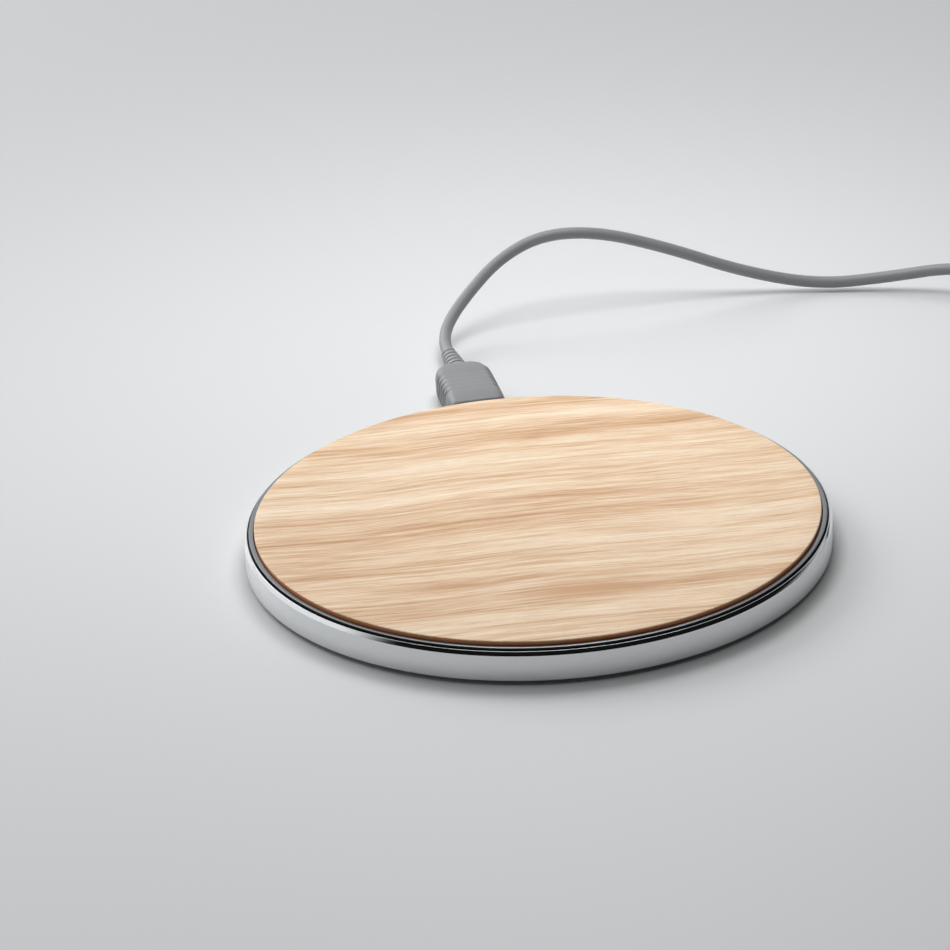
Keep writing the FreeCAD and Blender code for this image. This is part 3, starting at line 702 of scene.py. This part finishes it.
def make_foot(name):
    """Silicone foot with a rounded rim and a shallow dish in its sole."""
    low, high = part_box(name)
    centre = (low + high) / 2 / MM
    corners = [
        (0.0, DISH_DEPTH, 0.0, 0),
        (DISH_R - 0.3, DISH_DEPTH, 0.2, 0),
        (DISH_R, 0.0, 0.2, 0),
        (FOOT_R, 0.0, 0.35, 0),
        (FOOT_R, FOOT_HEIGHT, 0.05, 0),
        (0.0, FOOT_HEIGHT, 0.0, 0),
    ]
    bm = bmesh.new()
    lathe(bm, rounded_outline(corners, 5), 64, (centre.x, centre.y, 0.0), closed=False)
    foot = finish_mesh(name + "_pad", bm, [SILICONE], "pad", [name])
    sharpen(foot, 40)


for number in range(1, 5):
    make_foot(f"foot_{number}")


# ================================================================ plugs, strain reliefs and strap

RELIEF_Y, RELIEF_LENGTH = 70.0, 11.0
GRIP_HALF_W, GRIP_HALF_H, GRIP_CORNER = 5.3, 3.0, 1.6
GRIP_RIBS, RIB_START_Y, RIB_PITCH, RIB_DEPTH = 5, 56.3, 1.8, 0.25

USB_X, USB_FRONT_Y, USB_Z = 127.5, -6.0, 4.0     # front face of the USB-A plug's grip
USB_GRIP_LENGTH, USB_RELIEF_LENGTH = 20.0, 8.0
USB_TIP_Y, USB_BURIED_Y = USB_FRONT_Y - 12.0, USB_FRONT_Y + 4.0
USB_HALF_W, USB_HALF_H = 6.0, 2.25
USB_SHEET = 0.3


def make_plug_grip():
    """Soft moulded grip: full at the socket end, grooved at its sides, tapered to the cord."""
    full = (GRIP_HALF_W, GRIP_HALF_H, GRIP_CORNER)
    grooved = (GRIP_HALF_W - RIB_DEPTH, GRIP_HALF_H, GRIP_CORNER)
    stations = [(50.70, 4.70, 2.45, 1.3), (50.85, 5.05, 2.78, 1.5), (51.30, 5.25, 2.96, 1.6),
                (55.30, *full)]
    for rib in range(GRIP_RIBS):
        y = RIB_START_Y + RIB_PITCH * rib
        stations += [(y - 0.55, *full), (y - 0.35, *grooved), (y + 0.35, *grooved), (y + 0.55, *full)]
    stations += [(66.0, 5.25, 2.98, 1.7), (68.2, 4.75, 2.85, 1.9), (69.4, 4.05, 2.65, 2.2),
                 (RELIEF_Y, 3.10, 2.40, 2.3)]
    bm = bmesh.new()
    loft(bm, stations, (0.0, PORT_Z), 8)
    grip = finish_mesh("plug_grip_moulding", bm, [GRIP_PLASTIC], "cable", ["plug_grip"])
    sharpen(grip, 50)


def make_relief(name, node, root_r, length, ribs, centre):
    """Ribbed, tapered strain relief along Y, wide end first."""
    tip_r = 1.45
    neck_depth, least_neck_r = 0.5, 1.2
    bore_r = 1.17
    rib_end, neck_start, neck_end = 0.62, 0.66, 0.98      # shares of the pitch
    pitch = length / ribs
    corners = [(0.0, 0.0, 0.0, 0)]
    for rib in range(ribs):
        radius = root_r + (tip_r - root_r) * rib / (ribs - 1)
        neck = max(radius - neck_depth, least_neck_r)
        corners.append((radius, rib * pitch, 0.12, 0))
        corners.append((radius - 0.03, (rib + rib_end) * pitch, 0.15, 0))
        if rib < ribs - 1:
            corners.append((neck, (rib + neck_start) * pitch, 0.12, 0))
            corners.append((neck, (rib + neck_end) * pitch, 0.12, 0))
    corners.append((bore_r, length, 0.0, 0))
    corners.append((0.0, length, 0.0, 0))
    bm = bmesh.new()
    lathe(bm, rounded_outline(corners, 3), 40, centre, closed=False, axis="Y")
    relief = finish_mesh(name, bm, [CORD_JACKET], "cable", [node])
    sharpen(relief, 40)


def make_usb_grip():
    """Grip of the USB-A plug: rounded block with a collar, tapered to the cord."""
    stations = [
        (0.0, 6.9, 3.2, 1.6), (0.15, 7.35, 3.55, 1.9), (0.6, 7.6, 3.75, 2.1), (1.4, 7.7, 3.85, 2.2),
        (2.0, 7.7, 3.85, 2.2), (2.15, 7.55, 3.7, 2.1), (2.45, 7.55, 3.7, 2.1), (2.6, 7.8, 3.95, 2.2),
        (4.0, 7.85, 4.0, 2.2), (12.0, 7.85, 4.0, 2.2), (16.0, 7.6, 3.95, 2.4), (18.4, 6.9, 3.8, 2.7),
        (19.5, 5.9, 3.5, 2.9), (USB_GRIP_LENGTH, 4.2, 3.0, 2.9),
    ]
    stations = [(USB_FRONT_Y + y, half_w, half_h, corner) for y, half_w, half_h, corner in stations]
    bm = bmesh.new()
    loft(bm, stations, (USB_X, USB_Z), 8)
    grip = finish_mesh("usb_grip_moulding", bm, [GRIP_PLASTIC], "cable", ["usb_a_grip"])
    sharpen(grip, 50)


def closed_tube(bm, rings):
    """Join rings of equally many points into one closed skin, the last ring to the first."""
    rings = [[bm.verts.new([MM * c for c in place]) for place in ring] for ring in rings]
    count = len(rings[0])
    for index, ring in enumerate(rings):
        following = rings[(index + 1) % len(rings)]
        for step in range(count):
            after = (step + 1) % count
            face = bm.faces.new((ring[step], ring[after], following[after], following[step]))
            face.smooth = True


def usb_section(y, inset, corner):
    outline = super_ring(USB_HALF_W - inset, USB_HALF_H - inset, corner, 5)
    return [(USB_X + x, y, USB_Z + z) for x, z in outline]


def make_usb_shell():
    """Folded steel shell of the USB-A plug: rounded corners, two windows each side and a seam."""
    lip = 0.08
    bm = bmesh.new()
    closed_tube(bm, [
        usb_section(USB_TIP_Y, lip, 0.5), usb_section(USB_TIP_Y + lip, 0.0, 0.55),
        usb_section(USB_BURIED_Y, 0.0, 0.55), usb_section(USB_BURIED_Y, USB_SHEET, 0.3),
        usb_section(USB_TIP_Y + lip, USB_SHEET, 0.3), usb_section(USB_TIP_Y, USB_SHEET - lip, 0.35),
    ])
    shell = finish_mesh("usb_shell", bm, [CONNECTOR_STEEL], "cable", ["usb_a_shell"])
    window_x, window_half_w, past_shell = 2.9, 1.25, 4.0
    seam_half_w, seam_depth = 0.06, 0.12
    cutters = bmesh.new()
    for side in (-1, 1):
        window = [(USB_TIP_Y + y, window_half_w, past_shell, 0.0) for y in (5.4, 7.4)]
        loft(cutters, window, (USB_X + window_x * side, USB_Z), 1)
    seam = [(y, seam_half_w, seam_depth, 0.0) for y in (USB_TIP_Y - 1.0, USB_FRONT_Y)]
    loft(cutters, seam, (USB_X, USB_Z - USB_HALF_H), 1)
    cut_away(shell, cutters)
    sharpen(shell, 40)


STRAP_HALF_W = 4.0
STRAP_THICK = 0.5
STRAP_TOP = 7.9
STRAP_CORNER = 1.7
TAIL_WIDTH_SHARE = 0.88     # the free end is that much narrower than the strap
TAIL_OUT = 0.16             # from the strap's outer face to the middle of the free end


def make_tie_strap():
    """Soft strap round the coil's section, with its free end pressed onto its outer side."""
    half_r = (WINDING_ROWS - 1) * WINDING_PITCH / 2 + CORD_D / MM / 2 + STRAP_THICK
    side = [(share / 4 * 0.97, 0.0) for share in range(-4, 5)] + [(1.0, 0.25)]
    profile = side + [(-across, 1.0 - depth) for across, depth in side]
    rings = []
    for across, depth in profile:
        inset = depth * STRAP_THICK
        outline = super_ring(half_r - inset, STRAP_TOP / 2 - inset, STRAP_CORNER - inset, 8)
        rings.append([(WINDING_R + r, across * STRAP_HALF_W, STRAP_TOP / 2 + z) for r, z in outline])
    bm = bmesh.new()
    closed_tube(bm, rings)
    slices = []
    for step in range(-8, 9):
        across = step / 8
        half_z = 2.5 - 0.5 * across ** 4
        thick = 0.26 if abs(step) < 8 else 0.14
        slices.append((TAIL_WIDTH_SHARE * STRAP_HALF_W * across, thick, half_z, 0.12))
    loft(bm, slices, (WINDING_R + half_r + TAIL_OUT, STRAP_TOP / 2 - 0.2), 4)
    for vert in bm.verts:
        r, bend = vert.co.x, vert.co.y / (WINDING_R * MM)
        vert.co.x, vert.co.y = r * math.cos(bend), r * math.sin(bend)
    turned = Matrix.Translation(Vector((COIL_X, COIL_Y, 0.0)) * MM) @ Matrix.Rotation(TIE_ANGLE, 4, "Z")
    bmesh.ops.transform(bm, matrix=turned, verts=bm.verts)
    strap = finish_mesh("tie_strap", bm, [TIE_FABRIC], "cable", ["cable_tie"])
    sharpen(strap, 60)


make_plug_grip()
make_usb_shell()
make_tie_strap()
make_relief("plug_relief", "strain_relief", 2.3, RELIEF_LENGTH, 6, (0.0, RELIEF_Y, PORT_Z))
make_usb_grip()
make_relief("usb_relief", "usb_a_relief", 2.6, USB_RELIEF_LENGTH, 5,
            (USB_X, USB_FRONT_Y + USB_GRIP_LENGTH, USB_Z))


# ================================================================ finishes of the CAD nodes

NODE_FINISHES = {
    "base_cover": BASE_PLASTIC,
    "top_deck": INNER_PLASTIC,
    "wood_adhesive": ADHESIVE,
    "coil_adhesive": ADHESIVE,
    "base_screws": SCREW_STEEL,
    "transmit_coil": COPPER,
    "coil_leads": COPPER,
    "ferrite_shield": FERRITE,
    "input_inductor": FERRITE,
    "main_board": BOARD,
    "controller_chip": CHIP_PLASTIC,
    "bridge_chips": CHIP_PLASTIC,
    "resonant_capacitors": CERAMIC_PART,
    "input_capacitors": CERAMIC_PART,
    "chip_resistors": RESISTOR_PART,
    "indicator_lamp": LAMP,
    "light_pipe": CLEAR_PLASTIC,
    "socket_shell": CONNECTOR_STEEL,
    "socket_contacts": CONTACT_GOLD,
    "socket_tongue": CONNECTOR_PLASTIC,
    "plug_shell": CONNECTOR_STEEL,
    "plug_contacts": CONTACT_GOLD,
    "plug_insulator": CONNECTOR_PLASTIC,
    "usb_a_contacts": CONTACT_GOLD,
    "usb_a_insulator": USB_INSULATOR,
}

for node_name, finish in NODE_FINISHES.items():
    mesh = NODES[node_name].data
    mesh.materials.clear()
    mesh.materials.append(finish)


# ================================================================ studio

FLOOR_REACH = 8.0


def make_floor():
    """Wide pale table top."""
    made = Surface("studio_floor", (0.68, 0.69, 0.695), 0.55)
    cloud = made.noise(made.place((0.004,) * 3), detail=2.0)
    made.color(made.mix(cloud, (0.67, 0.68, 0.685), (0.70, 0.71, 0.715)))
    bm = bmesh.new()
    corners = [(-1, -1), (1, -1), (1, 1), (-1, 1)]
    bm.faces.new([bm.verts.new((FLOOR_REACH * x, FLOOR_REACH * y, 0.0)) for x, y in corners])
    mesh = bpy.data.meshes.new("floor")
    bm.to_mesh(mesh)
    bm.free()
    mesh.materials.append(made.material)
    floor = bpy.data.objects.new("floor", mesh)
    bpy.context.scene.collection.objects.link(floor)


def add_softbox(name, place, aim, size, power):
    data = bpy.data.lights.new(name, "AREA")
    data.shape = "RECTANGLE"
    data.size, data.size_y = size
    data.energy = power
    light = bpy.data.objects.new(name, data)
    light.location = place
    light.visible_camera = False
    light.rotation_euler = (Vector(aim) - Vector(place)).to_track_quat("-Z", "Y").to_euler()
    bpy.context.scene.collection.objects.link(light)


BRIGHT_SIDE = (-0.573, 0.819, 0.0)      # towards the bright back-left of the studio
BRIGHT_FADE = (0.22, 0.62)              # how squarely a direction faces that side, dark and full
HORIZON_FADE = (0.05, 0.28)             # heights between which the horizon's band fades out
BRIGHT_LEVEL = 0.85
HORIZON_LEVEL = 0.5
DARK_LEVEL = 0.006


def make_world():
    """Pale walls behind and to the left, a dim room elsewhere, and a soft band along the horizon."""
    world = bpy.data.worlds.new("studio")
    world.use_nodes = True
    tree = world.node_tree

    def add(kind, links, **settings):
        made = tree.nodes.new(kind)
        for key, value in settings.items():
            setattr(made, key, value)
        for socket, value in links.items():
            if isinstance(value, bpy.types.NodeSocket):
                tree.links.new(value, made.inputs[socket])
            else:
                made.inputs[socket].default_value = value
        return made.outputs

    direction = add("ShaderNodeTexCoord", {})["Generated"]
    side = add("ShaderNodeVectorMath", {0: direction, 1: BRIGHT_SIDE}, operation="DOT_PRODUCT")["Value"]
    wall = add("ShaderNodeMapRange", {"Value": side, "From Min": BRIGHT_FADE[0], "From Max": BRIGHT_FADE[1],
                                      "To Min": DARK_LEVEL, "To Max": BRIGHT_LEVEL},
               interpolation_type="SMOOTHSTEP")[0]
    height = add("ShaderNodeSeparateXYZ", {0: direction})["Z"]
    horizon = add("ShaderNodeMapRange", {"Value": height, "From Min": HORIZON_FADE[0],
                                         "From Max": HORIZON_FADE[1], "To Min": HORIZON_LEVEL,
                                         "To Max": DARK_LEVEL},
                  interpolation_type="SMOOTHSTEP")[0]
    level = add("ShaderNodeMath", {0: wall, 1: horizon}, operation="MAXIMUM")[0]
    background = tree.nodes["Background"]
    background.inputs["Color"].default_value = (0.97, 0.985, 1.0, 1)
    tree.links.new(level, background.inputs["Strength"])
    bpy.context.scene.world = world


def make_studio():
    make_floor()
    make_world()
    bpy.context.scene.view_settings.view_transform = "Standard"
    add_softbox("back_softbox", (-0.58, 0.98, 0.67), (0.0, 0.03, 0.0), (0.8, 0.48), 6.6)
    add_softbox("top_softbox", (0.025, 0.085, 0.18), (0.025, 0.08, 0.0), (0.1, 0.1), 0.19)
    add_softbox("ceiling", (0.0, 0.3, 2.2), (0.0, 0.3, 0.0), (2.5, 2.5), 17.0)


make_studio()


# ================================================================ finish

bpy.context.view_layer.update()
